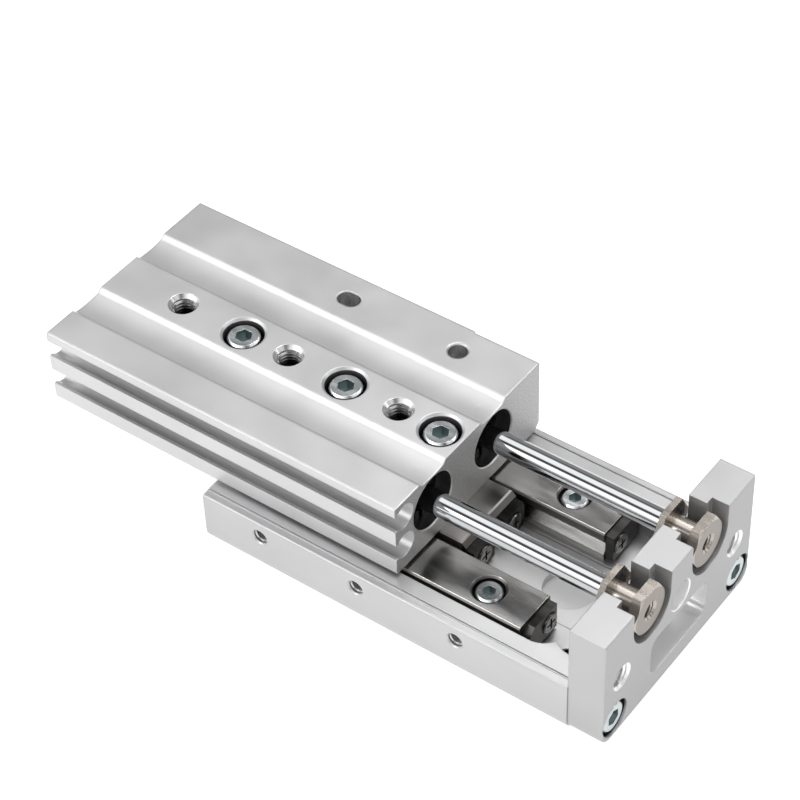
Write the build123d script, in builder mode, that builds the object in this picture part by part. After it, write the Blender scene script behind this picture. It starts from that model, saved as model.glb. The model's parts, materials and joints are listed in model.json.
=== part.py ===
from build123d import *
import os

os.makedirs("parts", exist_ok=True)

# Driving sizes of the slide, all in millimetres
stroke = 50.0
home_gap = 1.8            # end plate to cylinder body with the table home
body_len = 107.7
table_len = 107.4
table_w = 66.0
wall_h = 16.0             # side walls of the table
body_gap = 0.9            # table walls to the underside of the body
body_h = 22.0
plate_inset = 0.3         # end plate stands in from the table's sides
plate_t = 9.7
plate_h = 35.2
bore_pitch = 25.3
near_meat = 15.25         # bore axis to the body's sensor side
bore_d = 12.0
rod_d = 6.0

# Named clearances
slide_fit = 0.03          # radial running fit of rods and pistons
seat_fit = 0.02           # radial fit of pieces pushed into a bore
air = 0.3                 # faces that only pass each other

# Socket screws: thread, head diameter, head height, key size and key depth
m5_d = 5.0
m5_head = 8.5
m5_tall = 5.0
m5_key = 4.0
m5_key_in = 3.0
m4_d = 4.0
m4_head = 7.0
m4_tall = 4.0
m4_key = 3.0
m4_key_in = 2.4
m6_d = 6.0
through = 0.25            # radial play of a screw in its through hole
head_rim = 0.5

# Stations along the stroke; the part is centred on its own length
overall = body_len + home_gap + stroke + plate_t
x_back = -overall / 2
x_front = x_back + body_len
x_plate = x_front + home_gap + stroke
x_table = x_plate - table_len
x_end = x_plate + plate_t

# Heights stand on the table's outer face
z_bot = wall_h + body_gap
z_top = z_bot + body_h
y_far = table_w / 2
plate_w = table_w - 2 * plate_inset
bore_y = bore_pitch / 2
y_near = -bore_y - near_meat
bore_up = 12.2
bore_z = z_bot + bore_up
sides = (-1, 1)
side_names = {-1: "near", 1: "far"}

low = (Align.CENTER, Align.CENTER, Align.MIN)
high = (Align.CENTER, Align.CENTER, Align.MAX)


def on_bores(x):
    """Both bore axes at one station, each pointing forward."""
    return [Location((x, s * bore_y, bore_z), (0, 90, 0)) for s in sides]


def forward(x, y, z):
    """A place whose own Z runs forward along the stroke."""
    return Location((x, y, z), (0, 90, 0))


# Stations inside the two cylinders, with the pistons at their front end
gland_d = 15.6
gland_depth = 12.0
bumper_t = 1.0
piston_len = 18.0
x_gland = x_front - gland_depth
x_bumper = x_gland - bumper_t
x_piston = x_bumper - piston_len
x_cap = x_piston - stroke - bumper_t
ring_t = 1.0
ring_grip = 0.35          # retaining rings bite this deep into their grooves
cover_len = 7.0
x_cover_ring = x_gland + cover_len
cap_d = bore_d + 1.4
cap_flange = 4.0
x_cap_ring = x_back + 1.2
x_cap_step = x_cap_ring + ring_t + cap_flange
oring_w = 1.4
x_cover_oring = x_gland + 4.6
x_cap_oring = x_cap - 5.0
seal_d = 9.4
seal_len = 2.6
x_seal = x_gland + 1.2

# Mounting face of the body: threads, guide screws and dowel holes
tap_first = 21.4
tap_pitch = 33.6
tap_x = [x_back + tap_first + tap_pitch * i for i in range(3)]
screw_after_first = 19.4
screw_after_second = 17.6
screw_from_front = 6.7
guide_screw_x = [tap_x[0] + screw_after_first, tap_x[1] + screw_after_second, x_front - screw_from_front]
tap_depth = 11.0
tap_mouth = 8.0
cb_play = 1.05            # radial room round a guide screw head
cb_mouth = 0.6
guide_sink = 0.8
dowel_d = 5.0
dowel_long = 6.4
dowel_depth = 5.0
dowel_in = 8.1
dowel_y = y_far - dowel_in
dowel_mouth = 0.4

# Section of the body: two shallow grooves on top, two sensor slots in the near side
flat_in = 7.0
flat_out = 18.0
groove_deep = 1.4
shoulder = 1.3
slot_r = 3.7
slot_mouth = 5.0
slot_in = 3.6
slot_y = y_near + slot_in
slot_down = 5.1
slot_up = 7.3
slot_heights = (z_top - slot_down, z_bot + slot_up)
bottom_edge = 1.0
far_foot = 2.4
milled_len = 19.5         # front stretch of the far side is milled back a little
milled_t = 0.5
port_d = 5.0
port_depth = 7.0
link_d = 2.0
port_x = (x_cap + bumper_t + link_d, x_bumper - link_d)

with BuildPart() as cylinder_body:
    with BuildSketch(Plane.YZ.offset(x_back)) as profile:
        with Locations(((y_near + y_far) / 2, (z_bot + z_top) / 2)):
            Rectangle(y_far - y_near, body_h)
        chamfer(profile.vertices().group_by(Axis.X)[-1].sort_by(Axis.Y)[0], far_foot)
        fillet(profile.vertices().group_by(Axis.X)[0], bottom_edge / 2)
        for side in sides:
            deep = z_top - groove_deep * 0.8
            with BuildLine():
                ThreePointArc((side * (flat_in + shoulder), deep),
                              (side * (flat_in + flat_out) / 2, z_top - groove_deep),
                              (side * (flat_out - shoulder), deep))
                Line((side * (flat_out - shoulder), deep), (side * flat_out, z_top))
                Line((side * flat_out, z_top), (side * flat_in, z_top))
                Line((side * flat_in, z_top), (side * (flat_in + shoulder), deep))
            make_face(mode=Mode.SUBTRACT)
        for z in slot_heights:
            with Locations((slot_y, z)):
                Circle(slot_r, mode=Mode.SUBTRACT)
            with Locations(((slot_y + y_near) / 2, z)):
                Rectangle(slot_y - y_near, slot_mouth, mode=Mode.SUBTRACT)
    extrude(amount=body_len)
    with Locations((x_front - milled_len / 2, y_far, (z_bot + z_top) / 2)):
        Box(milled_len, 2 * milled_t, body_h, mode=Mode.SUBTRACT)
    with Locations(*on_bores(x_back)):
        Cylinder(bore_d / 2, body_len, align=low, mode=Mode.SUBTRACT)
        Cylinder(cap_d / 2, x_cap_step - x_back, align=low, mode=Mode.SUBTRACT)
    with Locations(*on_bores(x_gland)):
        Cylinder(gland_d / 2, gland_depth, align=low, mode=Mode.SUBTRACT)
    with Locations(*on_bores(x_cap_ring)):
        Cylinder(cap_d / 2 + ring_grip, ring_t, align=low, mode=Mode.SUBTRACT)
    with Locations(*on_bores(x_cover_ring)):
        Cylinder(gland_d / 2 + ring_grip, ring_t, align=low, mode=Mode.SUBTRACT)
    with Locations(*on_bores(x_front)):
        Cone(gland_d / 2, gland_d / 2 + air, air, align=high, mode=Mode.SUBTRACT)
    with Locations(*[(x, 0, z_top) for x in tap_x]):
        CounterSinkHole(m6_d / 2, tap_mouth / 2, depth=tap_depth, counter_sink_angle=90)
    with Locations(*[(x, 0, z_top) for x in guide_screw_x]):
        CounterBoreHole(m5_d / 2 + through, m5_head / 2 + cb_play, m5_tall + guide_sink, depth=body_h)
        Cone(m5_head / 2 + cb_play, m5_head / 2 + cb_play + cb_mouth, cb_mouth, align=high,
             mode=Mode.SUBTRACT)
    with Locations((tap_x[2], dowel_y, z_top)):
        CounterSinkHole(dowel_d / 2, dowel_d / 2 + dowel_mouth, depth=dowel_depth, counter_sink_angle=90)
    with BuildSketch(Plane.XY.offset(z_top)):
        with Locations((tap_x[1], dowel_y)):
            SlotOverall(dowel_long, dowel_d)
    extrude(amount=-dowel_depth, mode=Mode.SUBTRACT)
    # air ports on the far side, drilled on across both cylinders
    for x in port_x:
        with Locations(Location((x, y_far, bore_z), (-90, 0, 0))):
            Cylinder(port_d / 2, port_depth, align=high, mode=Mode.SUBTRACT)
            Cylinder(link_d / 2, y_far + bore_y, align=high, mode=Mode.SUBTRACT)
cylinder_body.part.label = "cylinder_body"
export_step(cylinder_body.part, "parts/cylinder_body.step")

# Pieces that close the cylinders: rod covers in front, head caps behind
for side, name in side_names.items():
    with BuildPart() as rod_cover:
        with Locations(forward(x_gland, side * bore_y, bore_z)):
            Cylinder(gland_d / 2 - seat_fit, cover_len, align=low)
            Cylinder(rod_d / 2 + slide_fit, cover_len, align=low, mode=Mode.SUBTRACT)
        with Locations(forward(x_seal, side * bore_y, bore_z)):
            Cylinder(seal_d / 2, seal_len, align=low, mode=Mode.SUBTRACT)
        with BuildSketch(Plane.YZ.offset(x_cover_oring)):
            with Locations((side * bore_y, bore_z)):
                Circle(gland_d / 2)
                Circle(gland_d / 2 - oring_w, mode=Mode.SUBTRACT)
        extrude(amount=oring_w, mode=Mode.SUBTRACT)
        front_rim = rod_cover.faces().sort_by(Axis.X)[-1].edges().sort_by(SortBy.RADIUS)[-1]
        chamfer(front_rim, head_rim)
    rod_cover.part.label = "rod_cover_" + name
    export_step(rod_cover.part, "parts/rod_cover_" + name + ".step")

    with BuildPart() as head_cap:
        with Locations(forward(x_cap_ring + ring_t, side * bore_y, bore_z)):
            Cylinder(cap_d / 2 - seat_fit, cap_flange, align=low)
            Cylinder(bore_d / 2 - seat_fit, x_cap - x_cap_ring - ring_t, align=low)
            Cylinder(cap_d / 4, cap_flange / 4, align=low, mode=Mode.SUBTRACT)
        with BuildSketch(Plane.YZ.offset(x_cap_oring)):
            with Locations((side * bore_y, bore_z)):
                Circle(bore_d / 2)
                Circle(bore_d / 2 - oring_w, mode=Mode.SUBTRACT)
        extrude(amount=oring_w, mode=Mode.SUBTRACT)
    head_cap.part.label = "head_cap_" + name
    export_step(head_cap.part, "parts/head_cap_" + name + ".step")


def tube_pair(label, x, length, outer, inner):
    """One ring on each bore axis, kept as two separate solids."""
    with BuildPart() as pair:
        with Locations(*on_bores(x)):
            Cylinder(outer, length, align=low)
        with Locations(*on_bores(x)):
            Cylinder(inner, length, align=low, mode=Mode.SUBTRACT)
    pair.part.label = label
    export_step(pair.part, "parts/" + label + ".step")


tube_pair("rod_seals", x_seal, seal_len, seal_d / 2, rod_d / 2)
tube_pair("cover_orings", x_cover_oring, oring_w, gland_d / 2, gland_d / 2 - oring_w)
tube_pair("cap_orings", x_cap_oring, oring_w, bore_d / 2, bore_d / 2 - oring_w)
tube_pair("front_bumpers", x_bumper, bumper_t, bore_d / 2 - slide_fit, rod_d / 2 + air)
tube_pair("rear_bumpers", x_cap, bumper_t, bore_d / 2 - slide_fit, bore_d / 4)

# Retaining rings, open below, with two lugs for the pliers
ring_w = 1.4
lug_w = 4.4
lug_h = 2.6
ring_open = 1.4
for label, x, seat in (("cover_rings", x_cover_ring, gland_d), ("cap_rings", x_cap_ring, cap_d)):
    with BuildPart() as rings:
        with BuildSketch(Plane.YZ.offset(x)):
            for side in sides:
                with Locations((side * bore_y, bore_z)):
                    Circle(seat / 2 + ring_grip)
                    Circle(seat / 2 + ring_grip - ring_w, mode=Mode.SUBTRACT)
                with Locations((side * bore_y, bore_z - seat / 2 + ring_w)):
                    Rectangle(lug_w, lug_h)
                with Locations((side * bore_y, bore_z - seat / 2)):
                    Rectangle(ring_open, 2 * lug_h + 2 * ring_w, mode=Mode.SUBTRACT)
        extrude(amount=ring_t)
    rings.part.label = label
    export_step(rings.part, "parts/" + label + ".step")

# Pistons on their rods; the nose keeps the front port open
stud_d = 5.0
rod_stud = 5.0            # the stud's length in the floating bush
nose_d = 9.4
nose_len = 3.2
magnet_w = 3.0
seal_w = 2.0
wear_w = 2.4
stud_in = 2.0             # metal left behind the rod's stud
land = 0.9                # piston metal left between two grooves
groove_bed = 1.6          # depth of the grooves for magnet, seals and wear ring
band_fit = 0.02
x_wear = x_piston + seal_w + 2 * land
x_magnet = x_wear + wear_w + land
x_seals = (x_piston + land, x_magnet + magnet_w + land)
bands = [(x_magnet, magnet_w), (x_seals[0], seal_w), (x_seals[1], seal_w), (x_wear, wear_w)]

for side, name in side_names.items():
    with BuildPart() as piston:
        with Locations(forward(x_piston, side * bore_y, bore_z)):
            Cylinder(bore_d / 2 - slide_fit, piston_len - nose_len, align=low)
            Cylinder(nose_d / 2, piston_len, align=low)
        for x, width in bands:
            with BuildSketch(Plane.YZ.offset(x)):
                with Locations((side * bore_y, bore_z)):
                    Circle(bore_d / 2)
                    Circle(bore_d / 2 - groove_bed, mode=Mode.SUBTRACT)
            extrude(amount=width, mode=Mode.SUBTRACT)
        with Locations(forward(x_piston + stud_in, side * bore_y, bore_z)):
            Cylinder(stud_d / 2, piston_len, align=low, mode=Mode.SUBTRACT)
    piston.part.label = "piston_" + name
    export_step(piston.part, "parts/piston_" + name + ".step")


def bands_on(label, stations, width, outer):
    """Rings lying in the piston grooves of both cylinders."""
    with BuildPart() as lying:
        for x in stations:
            with Locations(*on_bores(x)):
                Cylinder(outer, width, align=low)
        for x in stations:
            with Locations(*on_bores(x)):
                Cylinder(bore_d / 2 - groove_bed, width, align=low, mode=Mode.SUBTRACT)
    lying.part.label = label
    export_step(lying.part, "parts/" + label + ".step")


bands_on("piston_magnets", [x_magnet], magnet_w, bore_d / 2 - 0.3)
bands_on("piston_seals", x_seals, seal_w, bore_d / 2 - band_fit)
bands_on("wear_rings", [x_wear], wear_w, bore_d / 2 - band_fit)

# Floating bushes carry the table on the two rods
hex_af = 12.4
hex_t = 1.65
hex_play = 0.5
x_hex = x_plate - hex_play - hex_t
neck_d = 6.6
hex_front_in = 6.35
x_hex_front = x_plate + hex_front_in
hex_front_t = 2.75
bush_hole = 4.2
bush_mouth = 0.6

for side, name in side_names.items():
    with BuildPart() as front_hex:
        with BuildSketch(Plane.YZ.offset(x_hex_front)):
            with Locations((side * bore_y, bore_z)):
                RegularPolygon(hex_af / 2, 6, major_radius=False)
        extrude(amount=hex_front_t)
        with Locations(forward(x_hex_front, side * bore_y, bore_z)):
            Cone(hex_af / 2 - 0.1 + hex_front_t * 1.7, hex_af / 2 - 0.1, hex_front_t, align=low,
                 mode=Mode.INTERSECT)
    with BuildPart() as floating_bush:
        with BuildSketch(Plane.YZ.offset(x_hex)):
            with Locations((side * bore_y, bore_z)):
                RegularPolygon(hex_af / 2, 6, major_radius=False)
        extrude(amount=hex_t)
        with Locations(forward(x_hex, side * bore_y, bore_z)):
            Cylinder(neck_d / 2, x_hex_front - x_hex, align=low)
        add(front_hex.part)
        x_nose_face = x_hex_front + hex_front_t
        with Locations(forward(x_nose_face, side * bore_y, bore_z)):
            Cylinder(bush_hole / 2, x_nose_face - x_hex - rod_stud, align=high, mode=Mode.SUBTRACT)
            Cone(bush_hole / 2, bush_hole / 2 + bush_mouth, bush_mouth, align=high, mode=Mode.SUBTRACT)
        with Locations(forward(x_hex, side * bore_y, bore_z)):
            Cylinder(stud_d / 2, rod_stud, align=low, mode=Mode.SUBTRACT)
    floating_bush.part.label = "floating_bush_" + name
    export_step(floating_bush.part, "parts/floating_bush_" + name + ".step")

    with BuildPart() as piston_rod:
        with Locations(forward(x_bumper, side * bore_y, bore_z)):
            Cylinder(rod_d / 2, x_hex - x_bumper, align=low)
        with Locations(forward(x_piston + stud_in, side * bore_y, bore_z)):
            Cylinder(stud_d / 2, x_hex + rod_stud - x_piston - stud_in, align=low)
    piston_rod.part.label = "piston_rod_" + name
    export_step(piston_rod.part, "parts/piston_rod_" + name + ".step")

# Cross roller guide: crossed rollers between two facing right-angled grooves
roller_d = 4.0
race_fit = 0.02
guide_half = 10.7
cage_room = 1.0           # gap between guide and rails for the cages
rail_w = 13.1
rail_in = guide_half + cage_room
rail_out = rail_in + rail_w
seat_z = 6.1              # the rails stand here on the table
rail_h = 9.7
rail_top = seat_z + rail_h
floor_z = 5.7             # middle of the table floor
guide_low = floor_z + 0.8
race_z = (seat_z + rail_top) / 2
race_y = (guide_half + rail_in) / 2
relief = 0.8
guide_len = 84.0
guide_over = 8.0          # the guide stands out in front of the body
x_guide = x_front + guide_over - guide_len
x_rail = x_guide + stroke / 2
rail_len = guide_len
guide_bevel = 1.6
stop_t = 2.4
stop_screw_d = 2.5
guide_stop_y = 6.4
stop_bore = 6.0
guide_thread = 8.0
guide_edge = 0.4

with BuildPart() as guide_block:
    with BuildSketch(Plane.YZ.offset(x_guide)) as guide_profile:
        with Locations((0, (guide_low + z_bot) / 2)):
            Rectangle(2 * guide_half, z_bot - guide_low)
        chamfer(guide_profile.vertices(), guide_edge)
        for side in sides:
            with Locations(Location((side * race_y, race_z), 45)):
                Rectangle(roller_d + 2 * race_fit, roller_d + 2 * race_fit, mode=Mode.SUBTRACT)
            with Locations((side * (race_y - roller_d * 0.7), race_z)):
                Rectangle(relief, relief, mode=Mode.SUBTRACT)
    extrude(amount=guide_len)
    chamfer(guide_block.faces().sort_by(Axis.X)[-1].edges().sort_by(Axis.Z)[-1], guide_bevel)
    with Locations(*[(x, 0, z_bot) for x in guide_screw_x]):
        Hole(m5_d / 2, depth=guide_thread)
    for x, turn in ((x_guide + guide_len, 90), (x_guide, -90)):
        with Locations(*[Location((x, side * guide_stop_y, race_z), (0, turn, 0)) for side in sides]):
            Hole(stop_screw_d / 2, depth=stop_bore)
guide_block.part.label = "guide_block"
export_step(guide_block.part, "parts/guide_block.step")


def socket_screws(label, places, thread, head, tall, length, key, depth):
    """Cap screws with hexagon sockets; each place is a head's top with Z pointing out."""
    with BuildPart() as screws:
        for place in places:
            with Locations(place):
                Cylinder(head / 2, tall, align=high)
                Cylinder(thread / 2, tall + length, align=high)
            with BuildSketch(Plane(place)):
                RegularPolygon(key / 2, 6, major_radius=False)
            extrude(amount=-depth, mode=Mode.SUBTRACT)
        tops = [e for e in screws.edges().filter_by(GeomType.CIRCLE)
                if abs(e.radius - head / 2) < 0.001
                and any((e.arc_center - place.position).length < 0.01 for place in places)]
        chamfer(tops, head_rim)
    screws.part.label = label
    export_step(screws.part, "parts/" + label + ".step")


guide_head_z = z_top - guide_sink
tip_room = 0.5            # screws end short of the bottom of their holes
socket_screws("guide_screws", [Location((x, 0, guide_head_z)) for x in guide_screw_x],
              m5_d, m5_head, m5_tall, guide_head_z - m5_tall - z_bot + guide_thread - tip_room,
              m5_key, m5_key_in)

# Stoppers on the guide's ends keep the cages in
stop_w = 8.6
stop_h = 8.2
stop_head = 5.6
stop_head_t = 1.0
stop_proud = 0.5          # screw heads stand out of the stoppers
stop_reach = 5.0
stop_rim = 0.3
cross_long = 3.4
cross_wide = 0.7
cross_deep = 0.8


def end_stops(label, x, spots, width, tall, out):
    """Two small plates with countersunk seats at one end of a rail; out is +1 in front."""
    with BuildPart() as stops:
        for y, z in spots:
            with BuildSketch(Plane.YZ.offset(x)) as plate_shape:
                with Locations((y, z)):
                    Rectangle(width, tall)
                chamfer(plate_shape.vertices(), 0.5)
            extrude(amount=out * stop_t)
        for y, z in spots:
            with Locations(Location((x + out * stop_t, y, z), (0, out * 90, 0))):
                CounterBoreHole(stop_screw_d / 2 + 0.1, stop_head / 2 + 0.1, stop_head_t, depth=stop_t)
    stops.part.label = label
    export_step(stops.part, "parts/" + label + ".step")


def cross_screws(label, ends, spots):
    """Small cross recessed screws; each end is a face station and the way it looks."""
    with BuildPart() as screws:
        for x, out in ends:
            for y, z in spots:
                with Locations(Location((x + out * (stop_t + stop_proud), y, z), (0, out * 90, 0))):
                    Cylinder(stop_head / 2, stop_head_t + stop_proud, align=high)
                    Cylinder(stop_screw_d / 2, stop_t + stop_proud + stop_reach, align=high)
                    Box(cross_long, cross_wide, cross_deep, align=high, mode=Mode.SUBTRACT)
                    Box(cross_wide, cross_long, cross_deep, align=high, mode=Mode.SUBTRACT)
        tops = [e for e in screws.edges().filter_by(GeomType.CIRCLE)
                if abs(e.radius - stop_head / 2) < 0.001
                and any(abs(e.arc_center.X - x - out * (stop_t + stop_proud)) < 0.01 for x, out in ends)]
        chamfer(tops, stop_rim)
    screws.part.label = label
    export_step(screws.part, "parts/" + label + ".step")


x_guide_end = x_guide + guide_len
guide_spots = [(s * guide_stop_y, race_z) for s in sides]
end_stops("guide_front_stops", x_guide_end, guide_spots, stop_w, stop_h, 1)
end_stops("guide_rear_stops", x_guide, guide_spots, stop_w, stop_h, -1)
cross_screws("guide_stop_screws", [(x_guide_end, 1), (x_guide, -1)], guide_spots)

# Table: a deep channel that carries the two outer rails
preload_gap = 1.5
datum_gap = 0.1
near_wall = rail_out + preload_gap
far_wall = rail_out + datum_gap
strip_w = 2.0
step_y = table_w / 2 - strip_w
step_z = 0.3
line_w = 0.3              # fine grooves beside the step and at the foot of the rail seats
line_in = 0.3
strip_r = 0.6
belly_r = 3.2
seat_y = 11.0
cutter_r = 6.6
pocket_back = 15.3
pocket_front = 5.0
pocket_in = 1.6           # the front pocket is narrower than the rail channel
recess_d = 13.2
recess_deep = 2.0
recess_in = 21.0
rail_screw_y = rail_in + 6.8
rail_screw_in = 12.85
rail_screw_count = 3
rail_screw_pitch = (rail_len - 2 * rail_screw_in) / (rail_screw_count - 1)
rail_screw_x = [x_rail + rail_screw_in + rail_screw_pitch * i for i in range(rail_screw_count)]
rail_floor = 0.8          # table metal left under the rail screw threads
side_mouth = 4.8
table_hole_in = 9.5
table_pitch = 35.0
table_hole_x = [x_plate - table_hole_in - table_pitch * i for i in range(3)]
table_hole_y = 18.5
plate_screw_side = 5.6    # plate screws stand in from the table's sides
plate_screw_y = table_w / 2 - plate_screw_side
plate_screw_z = 5.8
plate_screw_in = 8.0
table_dowel = 4.0

with BuildPart() as table:
    with BuildSketch(Plane.YZ.offset(x_table)) as channel:
        with Locations((0, wall_h / 2)):
            Rectangle(table_w, wall_h)
        fillet(channel.vertices().group_by(Axis.Y)[0], belly_r)
        with Locations(((far_wall - near_wall) / 2, (seat_z + wall_h) / 2)):
            Rectangle(near_wall + far_wall, wall_h - seat_z, mode=Mode.SUBTRACT)
        with Locations((0, (floor_z + wall_h) / 2)):
            Rectangle(2 * seat_y, wall_h - floor_z, mode=Mode.SUBTRACT)
        for side in sides:
            with Locations((side * (step_y + table_w / 2) / 2, wall_h - step_z / 2)):
                Rectangle(table_w / 2 - step_y, step_z, mode=Mode.SUBTRACT)
            with Locations((side * (step_y - line_in - line_w / 2), wall_h)):
                Rectangle(line_w, 2 * line_w, mode=Mode.SUBTRACT)
            with Locations((side * (seat_y - line_w / 2), floor_z)):
                Rectangle(line_w, 2 * line_w, mode=Mode.SUBTRACT)
        for edge_side in (0, -1):
            fillet(channel.vertices().group_by(Axis.X)[edge_side].sort_by(Axis.Y)[-1], strip_r)
    extrude(amount=table_len)
    for side, wall in ((-1, near_wall), (1, far_wall)):
        with BuildSketch(Plane.XY.offset(seat_z)):
            with Locations((x_plate - pocket_back / 2, side * (wall - cutter_r / 2))):
                Rectangle(pocket_back, cutter_r)
            with Locations((x_plate - pocket_back, side * (wall - cutter_r))):
                Circle(cutter_r, mode=Mode.SUBTRACT)
            with Locations((x_plate - pocket_front, side * (wall - cutter_r - pocket_in))):
                Circle(cutter_r, mode=Mode.SUBTRACT)
        extrude(amount=wall_h - seat_z)
        with Locations(*[(x, side * rail_screw_y, seat_z) for x in rail_screw_x]):
            Hole(m4_d / 2, depth=seat_z - rail_floor)
        with Locations(*[(x, side * table_hole_y, seat_z) for x in table_hole_x]):
            Hole(m5_d / 2, depth=seat_z)
        with Locations(forward(x_plate, side * plate_screw_y, plate_screw_z)):
            Hole(m5_d / 2, depth=plate_screw_in + tip_room)
    with Locations(*[Location((x, -table_w / 2, race_z), (90, 0, 0)) for x in rail_screw_x]):
        CounterSinkHole(m4_d / 2, side_mouth / 2, depth=table_w / 2 - near_wall, counter_sink_angle=90)
    with Locations((x_plate - recess_in, 0, floor_z)):
        Cylinder(recess_d / 2, recess_deep, align=high, mode=Mode.SUBTRACT)
    with Locations((table_hole_x[0], 0, 0)):
        Cylinder(dowel_d / 2, table_dowel, align=low, mode=Mode.SUBTRACT)
    with BuildSketch(Plane.XY):
        with Locations((table_hole_x[2], 0)):
            SlotOverall(dowel_long, dowel_d)
    extrude(amount=table_dowel, mode=Mode.SUBTRACT)
table.part.label = "table"
export_step(table.part, "parts/table.step")

# Outer rails with their screws, preload screws and end stoppers
rail_edge = 0.5
rail_cb = 8.2
rail_mouth = 0.5
rail_sink = 0.5
rail_mid = (rail_in + rail_out) / 2
rail_stop_in = 2.7        # stopper screws stand in from the middle of the rail

for side, name in side_names.items():
    with BuildPart() as rail:
        with BuildSketch(Plane.YZ.offset(x_rail)) as rail_profile:
            with Locations((side * rail_mid, race_z)):
                Rectangle(rail_w, rail_h)
            chamfer(rail_profile.vertices(), rail_edge)
            with Locations(Location((side * race_y, race_z), 45)):
                Rectangle(roller_d + 2 * race_fit, roller_d + 2 * race_fit, mode=Mode.SUBTRACT)
            with Locations((side * (race_y + roller_d * 0.7), race_z)):
                Rectangle(relief, relief, mode=Mode.SUBTRACT)
        extrude(amount=rail_len)
        with Locations(*[(x, side * rail_screw_y, rail_top) for x in rail_screw_x]):
            CounterBoreHole(m4_d / 2 + through, rail_cb / 2, m4_tall + rail_sink, depth=rail_h)
            Cone(rail_cb / 2, rail_cb / 2 + rail_mouth, rail_mouth, align=high, mode=Mode.SUBTRACT)
        for x, turn in ((x_rail + rail_len, 90), (x_rail, -90)):
            with Locations(Location((x, side * (rail_mid - rail_stop_in), race_z), (0, turn, 0))):
                Hole(stop_screw_d / 2, depth=stop_bore)
    rail.part.label = "rail_" + name
    export_step(rail.part, "parts/rail_" + name + ".step")

rail_head_z = rail_top - rail_sink
for side, name in side_names.items():
    socket_screws("rail_screws_" + name,
                  [Location((x, side * rail_screw_y, rail_head_z)) for x in rail_screw_x],
                  m4_d, m4_head, m4_tall, rail_head_z - m4_tall - rail_floor - tip_room,
                  m4_key, m4_key_in)

preload_sink = 2.2
preload_len = table_w / 2 - rail_out - preload_sink
preload_key = 2.0
with BuildPart() as preload_screws:
    for x in rail_screw_x:
        tip = Location((x, -rail_out - preload_len, race_z), (90, 0, 0))
        with Locations(tip):
            Cylinder(m4_d / 2, preload_len, align=high)
        with BuildSketch(Plane(tip)):
            RegularPolygon(preload_key / 2, 6, major_radius=False)
        extrude(amount=-preload_len / 2, mode=Mode.SUBTRACT)
preload_screws.part.label = "preload_screws"
export_step(preload_screws.part, "parts/preload_screws.step")

x_rail_end = x_rail + rail_len
rail_stop_w = 11.7
rail_stop_h = 7.9
rail_stop_cut = 2.5
rail_spots = [(s * (rail_mid - rail_stop_in), race_z) for s in sides]


def rail_stops(label, x, out):
    """Wider plates behind or in front of both rails, cut back at the outer top corner."""
    with BuildPart() as stops:
        for side in sides:
            with BuildSketch(Plane.YZ.offset(x)) as plate_shape:
                with Locations((side * rail_mid, race_z)):
                    Rectangle(rail_stop_w, rail_stop_h)
                corner = plate_shape.vertices().group_by(Axis.Y)[-1].sort_by(lambda v: abs(v.X))[-1]
                chamfer(corner, rail_stop_cut)
            extrude(amount=out * stop_t)
        for y, z in rail_spots:
            with Locations(Location((x + out * stop_t, y, z), (0, out * 90, 0))):
                CounterBoreHole(stop_screw_d / 2 + 0.1, stop_head / 2 + 0.1, stop_head_t, depth=stop_t)
    stops.part.label = label
    export_step(stops.part, "parts/" + label + ".step")


rail_stops("rail_front_stops", x_rail_end, 1)
rail_stops("rail_rear_stops", x_rail, -1)
cross_screws("rail_stop_screws", [(x_rail_end, 1), (x_rail, -1)], rail_spots)

# Cages and their crossed rollers run at half the table's travel
cage_t = 0.5
cage_h = 7.4
cage_end = 1.25           # cage stays this far inside guide and rail at both limits
cage_len = guide_len - stroke / 2 - 2 * cage_end
cage_mid = x_rail_end - stroke / 2 - (guide_len - stroke / 2) / 2
roller_pitch = 6.0
roller_count = int((cage_len - roller_d) / roller_pitch) + 1
roller_short = 0.2        # crossed rollers are a little shorter than they are thick
roller_len = roller_d - roller_short
roller_x = [cage_mid + (i - (roller_count - 1) / 2) * roller_pitch for i in range(roller_count)]
window_w = roller_d + roller_short
window_h = (roller_d + roller_len) * 0.75

for side, name in side_names.items():
    with BuildPart() as cage:
        with Locations((cage_mid, side * race_y, race_z)):
            Box(cage_len, cage_t, cage_h)
        with Locations(*[(x, side * race_y, race_z) for x in roller_x]):
            Box(window_w, cage_t, window_h, mode=Mode.SUBTRACT)
    cage.part.label = "roller_cage_" + name
    export_step(cage.part, "parts/roller_cage_" + name + ".step")

    with BuildPart() as rollers:
        for i, x in enumerate(roller_x):
            lean = 45 if i % 2 else -45
            with Locations(Location((x, side * race_y, race_z), (lean, 0, 0))):
                Cylinder(roller_d / 2 - slide_fit / 2, roller_len)
        chamfer(rollers.edges().filter_by(GeomType.CIRCLE), 0.2)
    rollers.part.label = "rollers_" + name
    export_step(rollers.part, "parts/rollers_" + name + ".step")

# End plate: two open slots for the bushes and a window the guide passes into
plate_foot = 3.5
slot_narrow = 11.5
slot_wide = 16.1
slot_step = 4.9
window_y = 12.4
window_z = (5.6, 17.5)
window_r = 3.0
middle_d = 8.2
middle_z = 23.0
middle_mouth = 0.25
face_hole_side = 8.0
face_hole_y = table_w / 2 - face_hole_side
face_hole_z = 18.25
face_mouth = 7.3
plate_cb = 10.2
plate_cb_deep = 5.4
plate_edge = 0.3

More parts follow.
